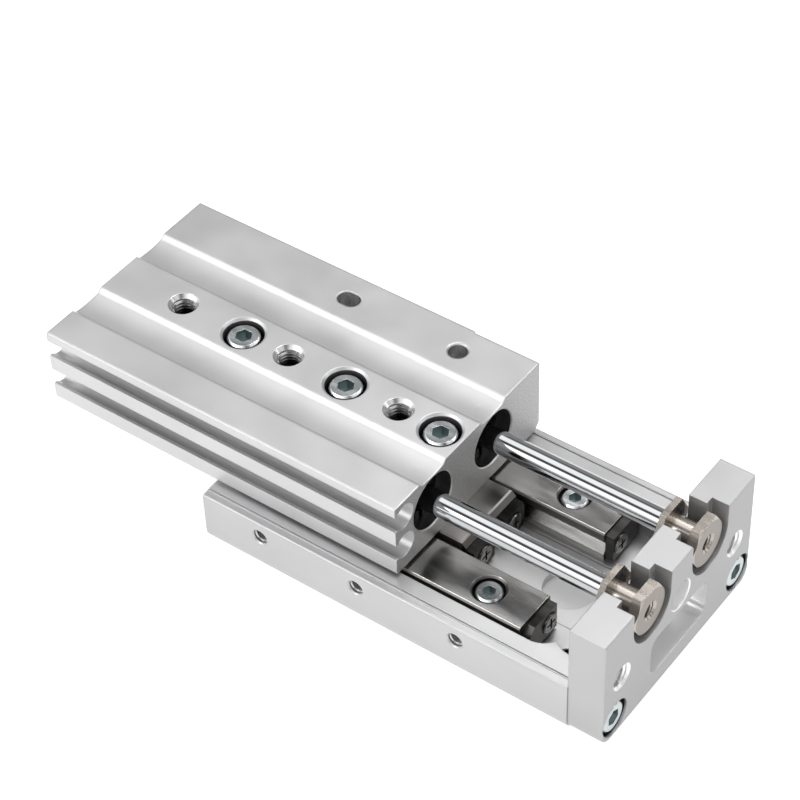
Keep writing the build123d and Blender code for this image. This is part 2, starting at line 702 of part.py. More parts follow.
with BuildPart() as end_plate:
    with BuildSketch(Plane.YZ.offset(x_plate)) as face:
        with Locations((0, plate_h / 2)):
            Rectangle(plate_w, plate_h)
        fillet(face.vertices().group_by(Axis.Y)[0], plate_foot)
    extrude(amount=plate_t)
    chamfer(end_plate.faces().sort_by(Axis.X)[-1].edges(), plate_edge)
    for x, width in ((x_plate, slot_narrow), (x_plate + slot_step, slot_wide)):
        with BuildSketch(Plane.YZ.offset(x)):
            for side in sides:
                with Locations((side * bore_y, bore_z)):
                    Circle(width / 2)
                with Locations((side * bore_y, bore_z + plate_h / 2)):
                    Rectangle(width, plate_h)
        extrude(amount=plate_t, mode=Mode.SUBTRACT)
    with BuildSketch(Plane.YZ.offset(x_plate)) as window:
        with Locations((0, sum(window_z) / 2)):
            Rectangle(2 * window_y, window_z[1] - window_z[0])
        fillet(window.vertices(), window_r)
    extrude(amount=plate_t, mode=Mode.SUBTRACT)
    with Locations(forward(x_end, 0, middle_z)):
        CounterSinkHole(middle_d / 2, middle_d / 2 + middle_mouth, depth=plate_t, counter_sink_angle=90)
    with Locations(*[forward(x_end, s * face_hole_y, face_hole_z) for s in sides]):
        CounterSinkHole(m6_d / 2, face_mouth / 2, depth=plate_t, counter_sink_angle=90)
    with Locations(*[forward(x_end, s * plate_screw_y, plate_screw_z) for s in sides]):
        CounterBoreHole(m5_d / 2 + through, plate_cb / 2, plate_cb_deep, depth=plate_t)
end_plate.part.label = "end_plate"
export_step(end_plate.part, "parts/end_plate.step")

plate_head_x = x_end - plate_cb_deep + m5_tall
socket_screws("end_plate_screws",
              [forward(plate_head_x, s * plate_screw_y, plate_screw_z) for s in sides],
              m5_d, m5_head, m5_tall, plate_head_x - m5_tall - x_plate + plate_screw_in,
              m5_key, m5_key_in)
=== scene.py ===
# %% [markdown]
# A slide table cylinder carries a small aluminium table on a crossed roller guide.
# Two air cylinders in the body push the table out by 50 mm. The solids come ready
# made, so this script gives them their finishes, adds the fine screw threads, and
# sets up the light, the floor and the camera. Lengths are in metres, so a length
# that is easier to read in millimetres is written as a number times MM.

# %% Load the solids
import json
import math

import bpy
import numpy as np
from mathutils import Matrix, Vector

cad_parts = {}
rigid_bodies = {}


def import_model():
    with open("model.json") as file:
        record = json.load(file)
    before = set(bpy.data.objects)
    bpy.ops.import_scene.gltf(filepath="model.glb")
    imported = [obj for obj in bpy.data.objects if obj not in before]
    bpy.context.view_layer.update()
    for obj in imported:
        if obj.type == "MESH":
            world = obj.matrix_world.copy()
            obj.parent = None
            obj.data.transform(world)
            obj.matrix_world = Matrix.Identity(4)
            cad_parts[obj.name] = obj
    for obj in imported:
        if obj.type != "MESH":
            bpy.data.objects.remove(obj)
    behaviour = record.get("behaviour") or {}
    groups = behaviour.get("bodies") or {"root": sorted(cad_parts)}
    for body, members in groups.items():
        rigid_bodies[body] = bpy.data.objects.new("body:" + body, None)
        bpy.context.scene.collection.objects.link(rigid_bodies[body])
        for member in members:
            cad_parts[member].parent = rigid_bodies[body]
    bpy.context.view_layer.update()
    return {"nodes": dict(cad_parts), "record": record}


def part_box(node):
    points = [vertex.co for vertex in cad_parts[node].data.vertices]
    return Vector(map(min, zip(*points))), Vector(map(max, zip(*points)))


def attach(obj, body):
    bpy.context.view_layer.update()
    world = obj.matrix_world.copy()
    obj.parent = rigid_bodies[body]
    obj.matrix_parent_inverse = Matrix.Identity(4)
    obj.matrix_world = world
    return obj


MM = 0.001
X, Y, Z = range(3)
SIDES = ("near", "far")

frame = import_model()
nodes = frame["nodes"]
mounts = {mount["name"]: mount for mount in frame["record"]["mounts"]}


def middle_of(node):
    """The middle of a node's box."""
    low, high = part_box(node)
    return (low + high) / 2


def top_of(node, axis):
    """The highest coordinate of a node along an axis."""
    return float(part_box(node)[1][axis])


# %% [markdown]
# Every finish here is a Principled shader with two quiet layers of noise. One changes
# the roughness, because no real surface is equally dull all over, and one is a very
# low bump. The noise reads object coordinates, so it has the same grain on every piece
# and never stretches as a wrapped picture would. Small helpers keep each finish short.

# %% Helpers for finishes
NOISE_RANGE = (0.3, 0.7)
NOISE_DETAIL = 2.0
EDGE_SAMPLES = 6
RANGE_ENTRIES = ("From Min", "From Max", "To Min", "To Max")


def grey(level):
    """A neutral colour."""
    return (level, level, level)


def new_finish(name, colour, metallic, roughness):
    """A material with one Principled shader, the tree to add nodes to, and the shader."""
    made = bpy.data.materials.new(name)
    made.use_nodes = True
    shader = made.node_tree.nodes["Principled BSDF"]
    shader.inputs["Base Color"].default_value = (*colour, 1)
    shader.inputs["Metallic"].default_value = metallic
    shader.inputs["Roughness"].default_value = roughness
    return made, made.node_tree, shader


def link(tree, source, output, target, entry):
    """One wire from an output of one node to an input of another."""
    tree.links.new(source.outputs[output], target.inputs[entry])


def noise(tree, scale):
    """Noise on object coordinates; scale is how often it repeats in a metre of each axis."""
    place = tree.nodes.new("ShaderNodeTexCoord")
    mapping = tree.nodes.new("ShaderNodeMapping")
    mapping.inputs["Scale"].default_value = scale
    link(tree, place, "Object", mapping, "Vector")
    texture = tree.nodes.new("ShaderNodeTexNoise")
    texture.inputs["Scale"].default_value = 1.0
    texture.inputs["Detail"].default_value = NOISE_DETAIL
    link(tree, mapping, "Vector", texture, "Vector")
    return texture.outputs["Fac"]


def carried_over(tree, value, limits):
    """A value carried straight over from one range to another, and held at its ends."""
    ramp = tree.nodes.new("ShaderNodeMapRange")
    for entry, limit in zip(RANGE_ENTRIES, limits):
        ramp.inputs[entry].default_value = limit
    tree.links.new(value, ramp.inputs["Value"])
    return ramp.outputs["Result"]


def mixed(tree, kind, first, second, share):
    """First where share is 0, second where it is 1; each is a socket or a plain value."""
    mix = tree.nodes.new("ShaderNodeMix")
    mix.data_type = kind
    for entry, value in (("A", first), ("B", second)):
        if isinstance(value, bpy.types.NodeSocket):
            tree.links.new(value, mix.inputs[entry])
        else:
            mix.inputs[entry].default_value = value
    tree.links.new(share, mix.inputs["Factor"])
    return mix.outputs["Result"]


def rounded_edge(tree, shader, radius, texture, height):
    """Breaks sharp edges in the shading over radius, and lays a low bump over them."""
    edge = tree.nodes.new("ShaderNodeBevel")
    edge.name = "broken edge"
    edge.samples = EDGE_SAMPLES
    edge.inputs["Radius"].default_value = radius
    bump = tree.nodes.new("ShaderNodeBump")
    bump.inputs["Distance"].default_value = height
    bump.inputs["Strength"].default_value = 1.0
    tree.links.new(texture, bump.inputs["Height"])
    link(tree, edge, "Normal", bump, "Normal")
    link(tree, bump, "Normal", shader, "Normal")


def wear(finish, grain, grain_height, dull, shades, patch, edge):
    """The usual dressing of a piece: grain bump, roughness patches and two close shades."""
    made, tree, shader = finish
    rounded_edge(tree, shader, edge, noise(tree, grain), grain_height)
    roughness = carried_over(tree, noise(tree, patch), (*NOISE_RANGE, *dull))
    tree.links.new(roughness, shader.inputs["Roughness"])
    share = carried_over(tree, noise(tree, patch), (*NOISE_RANGE, 0.0, 1.0))
    dark, light = ((*shade, 1) for shade in shades)
    tree.links.new(mixed(tree, "RGBA", dark, light, share), shader.inputs["Base Color"])
    return made


print("helpers ready, noise is taken from", *NOISE_RANGE)

# %% [markdown]
# One piece often shows more than one colour: the skin outside, cut metal in a hole, and
# painted light and shade in holes and on some faces. Its faces could be sorted into
# several materials, but the solids keep their meshes as they come. So each place is a
# mask, which the shader works out from the coordinates: it is 1 there and 0 elsewhere. A
# hole is what lies near its axis and behind its mouth.

# %% Masks from coordinates
# Painted shade: the near black that the colour of deep holes and threads sinks to.
PAINTED_SHADE = (0.012, 0.012, 0.012, 1)
HALFWAY = 0.5


def arithmetic(tree, operation, first, second=0.0):
    """One Math node; each side is a socket or a plain number."""
    made = tree.nodes.new("ShaderNodeMath")
    made.operation = operation
    for entry, value in enumerate((first, second)):
        if isinstance(value, bpy.types.NodeSocket):
            tree.links.new(value, made.inputs[entry])
        else:
            made.inputs[entry].default_value = float(value)
    return made.outputs["Value"]


def coordinates(tree):
    """The three object coordinates, in metres, as three sockets."""
    place = tree.nodes.new("ShaderNodeTexCoord")
    split = tree.nodes.new("ShaderNodeSeparateXYZ")
    link(tree, place, "Object", split, "Vector")
    return [split.outputs[axis] for axis in "XYZ"]


def below(tree, place, level):
    """1 where the coordinate is under level, else 0."""
    return arithmetic(tree, "LESS_THAN", place, level)


def above(tree, place, level):
    """1 where the coordinate is over level, else 0."""
    return arithmetic(tree, "GREATER_THAN", place, level)


def both(tree, first, second):
    """1 where both masks are 1."""
    return arithmetic(tree, "MULTIPLY", first, second)


def between(tree, place, low, high):
    """1 where the coordinate is over low and under high, else 0."""
    return both(tree, below(tree, place, high), above(tree, place, low))


def near_axis(tree, across, spots, reach):
    """1 where the root of the summed squares of the distances to a spot, along the two
    coordinates across, is under reach for any of the spots, else 0."""
    mask = 0.0
    for spot in spots:
        squares = [arithmetic(tree, "POWER", arithmetic(tree, "SUBTRACT", c, v), 2.0)
                   for c, v in zip(across, spot)]
        apart = arithmetic(tree, "SQRT", arithmetic(tree, "ADD", *squares))
        mask = arithmetic(tree, "MAXIMUM", below(tree, apart, reach), mask)
    return mask


def cut_metal_and_painted_light(made, mask, colour, dull, fade=None):
    """Where mask is 1 the skin gives way to another colour and roughness: cut metal in some
    places, painted light and shade in others. With fade, the colour sinks to a painted
    shade as fade goes from 0 to 1."""
    tree = made.node_tree
    shader = tree.nodes["Principled BSDF"]
    bare = (*colour, 1)
    if fade is not None:
        bare = mixed(tree, "RGBA", bare, PAINTED_SHADE, fade)
    for entry, kind, value in (("Base Color", "RGBA", bare), ("Roughness", "FLOAT", dull)):
        socket = shader.inputs[entry]
        before = socket.links[0].from_socket
        tree.links.new(mixed(tree, kind, before, value, mask), socket)


def holes_with_painted_light(made, axis, spots, reach, mouth, colour, dull, fade=None):
    """Colours round holes along axis, each within reach of its spot and behind the mouth,
    with a colour that stands for the light and shade in them. Fade is the pair of levels
    where the painted shade starts to darken the colour and where it is dark."""
    tree = made.node_tree
    place = coordinates(tree)
    across = [place[a] for a in (X, Y, Z) if a != axis]
    inside = both(tree, near_axis(tree, across, spots, reach), below(tree, place[axis], mouth))
    sinking = carried_over(tree, place[axis], (*fade, 0.0, 1.0)) if fade else None
    cut_metal_and_painted_light(made, inside, colour, dull, sinking)


def hole_row(mount):
    """Hole centres of a line or rectangle mount, from its middle and its spacings."""
    stated = mounts[mount]
    across = [axis for axis in (X, Y, Z) if abs(stated["axis"][axis]) < HALFWAY]
    spots = [np.array(stated["pos_m"])]
    for axis, key in zip(across, ("spacing_x_mm", "spacing_y_mm")):
        half = np.eye(3)[axis] * stated["dims"].get(key, 0) * MM / 2
        ways = (-1, 1) if half.any() else (0,)
        spots = [spot + way * half for spot in spots for way in ways]
    return spots


print("holes in the plate's row:", len(hole_row("plate_threads")))

# %% [markdown]
# The body, the table and the end plate are bead blasted aluminium with a clear
# anodic layer. Blasting leaves a fine matt grain, so the bump is small and even. The
# layer is too thin to see as a coat of its own: it only takes some of the metal's
# mirror away, so the shader is a little less than fully metallic.

# %% Anodised aluminium
GRAIN = (9000, 9000, 9000)
PATCH = (60, 60, 60)
ANODISED_METAL = 0.8
BLUE_TRACE = 0.005
EDGE = 0.30 * MM


def anodised(name, dark, light, dull, grain_height=0.004 * MM):
    """Blasted and clear anodised aluminium, with a trace of blue."""
    shades = [(level, level, level + BLUE_TRACE) for level in (dark, light)]
    finish = new_finish(name, shades[1], ANODISED_METAL, dull[0])
    return wear(finish, GRAIN, grain_height, dull, shades, PATCH, EDGE)


body_finish = anodised("blasted_body", 0.60, 0.64, (0.36, 0.42), 0.006 * MM)
table_finish = anodised("blasted_table", 0.52, 0.56, (0.34, 0.42))
plate_finish = anodised("blasted_plate", 0.47, 0.50, (0.38, 0.44))
print("anodised finishes:", body_finish.name, table_finish.name, plate_finish.name)

# %% [markdown]
# The body is drawn through a die, so the shoulders of its two top grooves are softer
# than its sawn and milled edges. They could be rounded in the mesh, but the light on
# them is all that is seen of it, so only the broken edge in the shading gets wider.

# %% Soft shoulders of the top grooves
SOFT_EDGE = 0.65 * MM
GROOVES_START = 6.5 * MM
GROOVE_BED = 36.5 * MM

tree = body_finish.node_tree
place = coordinates(tree)
beside = above(tree, arithmetic(tree, "ABSOLUTE", place[Y]), GROOVES_START)
grooves = both(tree, beside, above(tree, place[Z], GROOVE_BED))
wider = arithmetic(tree, "MULTIPLY", grooves, SOFT_EDGE - EDGE)
radius = arithmetic(tree, "ADD", wider, EDGE)
tree.links.new(radius, tree.nodes["broken edge"].inputs["Radius"])
print("broken edges:", EDGE / MM, "mm, and in the grooves", SOFT_EDGE / MM, "mm")

# %% [markdown]
# The holes are cut after the skin is on, so inside them the metal is bare. It is bright
# at the mouth, where the cutter left a clean chamfer. Further down the colour is painted
# darker, which is painted shade, and the counterbores, the dowel holes and the rod bores
# are painted dark all through, as painted shade. The body's front is sawn off, which
# leaves a fine dark speckle. A bump would be the true way to make it, but so fine a bump
# can't be seen, so it is a colour.

# %% Cut metal and painted shade in the body
SKIN = 0.02 * MM
SAW = (2600, 2600, 2600)
COUNTERSINK_R = 4.2 * MM
TAPPED_FADE = (1.2 * MM, 4.5 * MM)
GUIDE_SCREW_X = (-43.79, -12.0, 16.4)
GUIDE_BORE_R = 5.6 * MM
GUIDE_BORE_CHAMFER = 0.6 * MM
GUIDE_FADE = (1.0 * MM, 3.5 * MM)
DOWEL_R = 2.95 * MM
DOWEL_CHAMFER = 0.4 * MM
OBLONG_HALF = 0.7 * MM
ROD_BORE_R = 8.3 * MM
ROD_BORE_CHAMFER = 0.35 * MM

body_top = top_of("cylinder_body", Z)
body_front = top_of("cylinder_body", X)
body_spots = hole_row("body_threads") + [np.array(mounts["body_middle_thread"]["pos_m"])]
tapped = [(spot[X], 0.0) for spot in body_spots]
guide_screw_spots = [(x * MM, 0.0) for x in GUIDE_SCREW_X]
dowel, oblong = (mounts[name]["pos_m"] for name in ("body_dowel", "body_dowel_slot"))
oblong_ends = [(oblong[X] + way * OBLONG_HALF, oblong[Y]) for way in (-1, 1)]
rod_axes = [middle_of(f"piston_rod_{side}")[Y:] for side in SIDES]


def saw_grain(made, mask, shade):
    """Where mask is 1 the colour is speckled with a darker shade, as a saw leaves it."""
    tree = made.node_tree
    colour = tree.nodes["Principled BSDF"].inputs["Base Color"]
    speckle = carried_over(tree, noise(tree, SAW), (*NOISE_RANGE, 0.0, 1.0))
    share = both(tree, speckle, mask)
    before = colour.links[0].from_socket
    tree.links.new(mixed(tree, "RGBA", before, (*shade, 1), share), colour)


tree = body_finish.node_tree
front = above(tree, coordinates(tree)[X], body_front - SKIN)
cut_metal_and_painted_light(body_finish, front, grey(0.58), 0.50)
saw_grain(body_finish, front, grey(0.36))
# Painted shade: the tapped holes darken from 1.2 mm down; counterbores, dowel holes and rod bores
# are painted dark.
holes_with_painted_light(body_finish, Z, tapped, COUNTERSINK_R, body_top - SKIN, grey(0.62), 0.20,
          [body_top - down for down in TAPPED_FADE])
holes_with_painted_light(body_finish, Z, guide_screw_spots, GUIDE_BORE_R, body_top - GUIDE_BORE_CHAMFER,
          grey(0.30), 0.30, [body_top - down for down in GUIDE_FADE])
holes_with_painted_light(body_finish, Z, [dowel[:2], *oblong_ends], DOWEL_R, body_top - DOWEL_CHAMFER,
          grey(0.48), 0.18)
holes_with_painted_light(body_finish, X, rod_axes, ROD_BORE_R, body_front - ROD_BORE_CHAMFER,
          grey(0.16), 0.25)
print("holes cut in the body:", len(tapped) + len(guide_screw_spots) + 2 + len(rod_axes))

# %% [markdown]
# The end plate is milled all over, and its front is faced last, with a sharp cutter. The
# front is painted a little darker, as painted shade. Its window, middle hole and tapped
# holes are painted the brightest, as painted light, and the counterbores are painted dark
# round the screw heads, as painted shade. The floor of the table's channel is milled with
# a coarser cutter and stays dull, and it is painted paler, as painted light.

# %% Cut metal, painted light and painted shade in the end plate and the table
WINDOW_HALF = 12.6 * MM
WINDOW_Z = (5.4 * MM, 17.7 * MM)
MIDDLE_HOLE = (0.0, 23.0 * MM)
MIDDLE_HOLE_R = 4.4 * MM
PLATE_SCREW_Y, PLATE_SCREW_Z = 27.4 * MM, 5.8 * MM
PLATE_BORE_R = 5.3 * MM
PLATE_BORE_CHAMFER = 0.6 * MM
CHANNEL_HALF = 11.0 * MM
CHANNEL_FLOOR = 6.2 * MM

plate_front = top_of("end_plate", X)
plate_spots = hole_row("plate_threads")
plate_screw_spots = [(way * PLATE_SCREW_Y, PLATE_SCREW_Z) for way in (-1, 1)]
tree = plate_finish.node_tree
place = coordinates(tree)
# Painted shade: the plate's front is a little darker than its other faces.
cut_metal_and_painted_light(plate_finish, above(tree, place[X], plate_front - SKIN), (0.40, 0.40, 0.405), 0.42)
# Painted light: the window, the middle hole and the tapped holes are painted brighter than the
# plate.
beside = below(tree, arithmetic(tree, "ABSOLUTE", place[Y]), WINDOW_HALF)
window = both(tree, beside, between(tree, place[Z], *WINDOW_Z))
behind = below(tree, place[X], plate_front - SKIN)
cut_metal_and_painted_light(plate_finish, both(tree, window, behind), grey(0.80), 0.30)
holes_with_painted_light(plate_finish, X, [MIDDLE_HOLE], MIDDLE_HOLE_R, plate_front - SKIN, grey(0.98), 0.40)
holes_with_painted_light(plate_finish, X, [spot[Y:] for spot in plate_spots], COUNTERSINK_R,
          plate_front - SKIN, grey(0.92), 0.36)
# Painted shade: the counterbores round the screw heads are painted dark.
holes_with_painted_light(plate_finish, X, plate_screw_spots, PLATE_BORE_R,
          plate_front - PLATE_BORE_CHAMFER, grey(0.10), 0.25)

tree = table_finish.node_tree
place = coordinates(tree)
inner = below(tree, arithmetic(tree, "ABSOLUTE", place[Y]), CHANNEL_HALF)
channel = both(tree, below(tree, place[Z], CHANNEL_FLOOR), inner)
# The channel floor is dull from the coarser cutter; its paler colour is painted light.
cut_metal_and_painted_light(table_finish, channel, grey(0.68), 0.62)
print("holes cut in the end plate:", len(plate_spots) + len(plate_screw_spots) + 1)

# %% [markdown]
# The guide block and the rails are hardened steel, ground along their length. The
# wheel leaves long fine scratches, so their noise is stretched along X. The rods are
# ground, hard chromed and polished, and only a trace of the turning is left.

# %% Ground steel, chrome and nickel
ALONG = (120, 9000, 9000)
AROUND = (9000, 300, 300)
STEEL_PATCH = (90, 400, 400)
STEEL_EDGE = 0.12 * MM


def steel(name, dark, light, dull, grain=ALONG, height=0.003 * MM):
    """Bare or thinly plated steel with a direction in its grain."""
    finish = new_finish(name, light, 1.0, dull[0])
    return wear(finish, grain, height, dull, (dark, light), STEEL_PATCH, STEEL_EDGE)


rail_finish = steel("ground_rail", (0.46, 0.45, 0.44), (0.50, 0.49, 0.48), (0.16, 0.26),
                    ALONG, 0.001 * MM)
guide_finish = steel("ground_guide", (0.32, 0.305, 0.295), (0.36, 0.345, 0.335),
                     (0.30, 0.36), ALONG, 0.001 * MM)
rod_finish = steel("chromed_rod", (0.49, 0.50, 0.51), (0.53, 0.54, 0.55), (0.06, 0.10),
                   AROUND, 0.0006 * MM)
bush_finish = steel("nickel_bush", (0.42, 0.385, 0.35), (0.48, 0.44, 0.40), (0.22, 0.30),
                    AROUND, 0.002 * MM)
cover_finish = steel("dark_cover", grey(0.030), grey(0.055), (0.30, 0.40), AROUND)
roller_finish = steel("ground_roller", grey(0.70), grey(0.78), (0.12, 0.18))
cage_finish = steel("bronze_cage", (0.20, 0.16, 0.11), (0.27, 0.22, 0.15), (0.25, 0.35))
ring_finish = steel("spring_ring", (0.07, 0.065, 0.06), (0.11, 0.105, 0.10), (0.35, 0.45))
print("steel finishes made, the brightest for", roller_finish.name)

# %% [markdown]
# Grinding reaches only the faces that need it. Some places are painted darker than the
# ground steel, as painted shade: the rails' counterbores, the flank under a rail's top
# edge, the guide block's front, which stands in the body's shade, and the bushes' fronts,
# which are also a little duller than their hexagons. Masks give each of these places its
# own colour, as for the holes in the aluminium.

# %% Painted shade on the rails, the guide and the bushes
RAIL_HEAD_R = 3.5 * MM
RAIL_BORE_R = 4.3 * MM
RAIL_BORE_CHAMFER = 0.3 * MM
RAIL_SCREWS = 3
FLANK = (2.4 * MM, 0.08 * MM)
GUIDE_FRONT = 1.2 * MM


def screw_row(node, head_r, count):
    """Axes of equal screws in a row along X, from the box of their node."""
    low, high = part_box(node)
    spots = np.linspace(low[X] + head_r, high[X] - head_r, count)
    return [(x, (low[Y] + high[Y]) / 2) for x in spots]


rail_top = top_of("rail_near", Z)
rail_screw_spots = [spot for side in SIDES
                    for spot in screw_row(f"rail_screws_{side}", RAIL_HEAD_R, RAIL_SCREWS)]
# Painted shade: the rails' counterbores are painted near black.
holes_with_painted_light(rail_finish, Z, rail_screw_spots, RAIL_BORE_R, rail_top - RAIL_BORE_CHAMFER,
          grey(0.04), 0.35)
# Painted shade: the flank under each rail's top edge is painted dark.
tree = rail_finish.node_tree
flank = between(tree, coordinates(tree)[Z], *(rail_top - down for down in FLANK))
cut_metal_and_painted_light(rail_finish, flank, (0.15, 0.145, 0.14), 0.40)
# Painted shade: the guide block's front, in the body's shade, is painted dark.
tree = guide_finish.node_tree
guide_front = above(tree, coordinates(tree)[X], top_of("guide_block", X) - GUIDE_FRONT)
cut_metal_and_painted_light(guide_finish, guide_front, (0.12, 0.115, 0.11), 0.42)
# Painted shade: the bushes' fronts are painted darker than their hexagons, and are a little
# duller.
tree = bush_finish.node_tree
bush_front = above(tree, coordinates(tree)[X], top_of("floating_bush_near", X) - SKIN)
cut_metal_and_painted_light(bush_finish, bush_front, (0.26, 0.23, 0.207), 0.30)
print("rail screws:", len(rail_screw_spots))

# %% [markdown]
# Cap screws are zinc plated and keep a faint blue cast. Their sockets are painted darker
# than the heads, as painted shade, except on the end plate's screws, whose sockets are
# painted paler, as painted light, and whose heads are a darker copy of the zinc, as
# painted shade. The stopper plates and their small screws are chemically blackened, which
# is dark but still shines at the edges; the guide block's stoppers are a darker copy of
# that, as painted shade.

# %% Plated and blackened pieces
ZINC = ((0.64, 0.67, 0.68), (0.80, 0.83, 0.84))
# Painted shade: a darker copy of the zinc for the end plate's screws.
SHADED_ZINC = ((0.46, 0.51, 0.515), (0.62, 0.67, 0.675))
# Painted shade: the usual socket colour. Painted light: the paler socket of the end plate's
# screws.
PAINTED_SOCKET_SHADE = (0.34, 0.395, 0.40)
PAINTED_SOCKET_LIGHT = (0.66, 0.73, 0.735)
LARGE_SOCKET_R = 2.35 * MM
SMALL_SOCKET_R = 1.8 * MM
HEAD_RIM = 0.15 * MM


def screw_finish(name, shades, axis, spots, socket_r, node, socket=PAINTED_SOCKET_SHADE):
    """Zinc plated screw; its socket, round each axis and under the head's top, takes the
    colour socket, painted to stand for the light and shade in it.
    """
    made = steel(name, *shades, (0.20, 0.30), GRAIN, 0.002 * MM)
    holes_with_painted_light(made, axis, spots, socket_r, top_of(node, axis) - HEAD_RIM, socket, 0.30)
    return made


guide_screw_finish = screw_finish("zinc_guide_screw", ZINC, Z, guide_screw_spots,
                                  LARGE_SOCKET_R, "guide_screws")
rail_screw_finish = screw_finish("zinc_rail_screw", ZINC, Z, rail_screw_spots,
                                 SMALL_SOCKET_R, "rail_screws_near")
plate_screw_finish = screw_finish("zinc_plate_screw", SHADED_ZINC, X, plate_screw_spots,
                                  LARGE_SOCKET_R, "end_plate_screws", PAINTED_SOCKET_LIGHT)
black_finish = steel("blackened_plate", (0.045, 0.043, 0.041), (0.085, 0.081, 0.078),
                     (0.28, 0.40), GRAIN)
# Painted shade: a darker copy of the blackened finish for the guide block's stoppers.
shaded_guide_stop_finish = steel("blackened_guide_stop_in_painted_shade", (0.018, 0.017, 0.016),
                          (0.035, 0.033, 0.032), (0.34, 0.46), GRAIN)
dark_screw_finish = steel("blackened_screw", (0.16, 0.155, 0.15), (0.26, 0.25, 0.24),
                          (0.16, 0.26), GRAIN)
print("screw finishes:", guide_screw_finish.name, rail_screw_finish.name, plate_screw_finish.name)

# %% [markdown]
# Seals and bumpers are moulded rubber, the magnets are pressed powder, and the wear
# rings are filled plastic. None is a metal, and all are dull with a soft sheen, so one
# helper serves them. They are hidden in the bores, and seen when the part is opened.

# %% Rubber, plastic and magnets
SOFT_EDGE_BREAK = 0.1 * MM


def moulded(name, dark, light):
    """Moulded or pressed material: no metal, dull, with a soft sheen."""
    finish = new_finish(name, light, 0.0, 0.6)
    return wear(finish, GRAIN, 0.005 * MM, (0.5, 0.7), (dark, light), PATCH, SOFT_EDGE_BREAK)


seal_finish = moulded("black_seal", grey(0.015), grey(0.03))
bumper_finish = moulded("amber_bumper", (0.30, 0.17, 0.07), (0.36, 0.21, 0.09))
magnet_finish = moulded("pressed_magnet", (0.05, 0.05, 0.055), (0.08, 0.08, 0.085))
band_finish = moulded("filled_band", (0.06, 0.05, 0.045), (0.09, 0.08, 0.07))
print("soft finishes made")

# %% [markdown]
# Each solid's own material slot takes its new finish here. The record already names a
# slot for every node, so the slot's name picks the finish. Four nodes differ from the
# others of their slot, so they are named one by one.

# %% Finishes onto the solids
finish_of_slot = {
    "body_aluminium": body_finish,
    "table_aluminium": table_finish,
    "plate_aluminium": plate_finish,
    "cover_metal": cover_finish,
    "piston_metal": cover_finish,
    "rod_chrome": rod_finish,
    "bush_nickel": bush_finish,
    "guide_steel": guide_finish,
    "rail_steel": rail_finish,
    "stop_black": black_finish,
    "stop_screw_steel": dark_screw_finish,
    "screw_steel": rail_screw_finish,
    "set_screw_steel": dark_screw_finish,
    "ring_steel": ring_finish,
    "roller_steel": roller_finish,
    "cage_metal": cage_finish,
    "seal_rubber": seal_finish,
    "bumper_rubber": bumper_finish,
    "magnet_grey": magnet_finish,
    "wear_plastic": band_finish,
}
finish_of_node = {
    "guide_screws": guide_screw_finish,
    "end_plate_screws": plate_screw_finish,
    "guide_front_stops": shaded_guide_stop_finish,
    "guide_rear_stops": shaded_guide_stop_finish,
}
slot_of_node = {s["node"]: s["material_slot"] for s in frame["record"]["subparts"]}
for node_name, solid in nodes.items():
    finish = finish_of_node.get(node_name, finish_of_slot[slot_of_node[node_name]])
    for material_slot in solid.material_slots:
        material_slot.material = finish
print("dressed solids:", len(slot_of_node))

# %% [markdown]
# A tapped hole catches the light on its thread, and a smooth one doesn't. A thread is
# one small ridge wound into a helix. It could be cut out of the wall, but the ridge
# alone is simpler and looks the same: its section is a flat-topped triangle that stands
# on the hole's wall, so every hole gets its own ridge with the standard pitch.

# %% Thread ridges
STEPS_PER_TURN = 40
WALL_SINK = 0.01 * MM
SECTION = (0.06, 0.44, 0.56, 0.94)
RISE_PER_TURN = 5
THINNEST = 0.02


def thread_ridge(name, mouth, way, hole_r, length, pitch, start, tall):
    """A ridge on the wall of a hole. Point (t, k): angle a = 2 pi t, distance down the hole
    start + pitch t + offset of corner k, and radius hole_r less the height of corner k.
    The ridge stands tall pitches high, and rises to that over a fifth of a turn at its ends."""
    turns = (length - start) / pitch - 1
    t = np.linspace(0, turns, int(turns * STEPS_PER_TURN) + 1)
    fade = np.clip(np.minimum(t, turns - t) * RISE_PER_TURN, THINNEST, 1)
    offset = np.array(SECTION) * pitch
    height = np.array([-WALL_SINK, tall * pitch, tall * pitch, -WALL_SINK])
    angle = 2 * np.pi * t[:, None]
    radius = hole_r - height[None, :] * np.where(height[None, :] > 0, fade[:, None], 1)
    down = start + pitch * t[:, None] + offset[None, :]
    local = np.stack([radius * np.cos(angle), radius * np.sin(angle), -down], axis=-1)
    turn = Vector((0, 0, 1)).rotation_difference(Vector(way)).to_matrix()
    points = local.reshape(-1, 3) @ np.array(turn).T + np.array(mouth)
    corners = len(offset)
    i, k = np.meshgrid(np.arange(len(t) - 1), np.arange(corners), indexing="ij")
    near, far, side = i * corners, (i + 1) * corners, (k + 1) % corners
    quads = np.stack([near + k, near + side, far + side, far + k], axis=-1).reshape(-1, corners)
    last = (len(t) - 1) * corners
    ends = [list(range(corners))[::-1], [last + c for c in range(corners)]]
    mesh = bpy.data.meshes.new(name)
    mesh.from_pydata(points.tolist(), [], quads.tolist() + ends)
    mesh.update()
    piece = bpy.data.objects.new(name, mesh)
    bpy.context.scene.collection.objects.link(piece)
    return piece


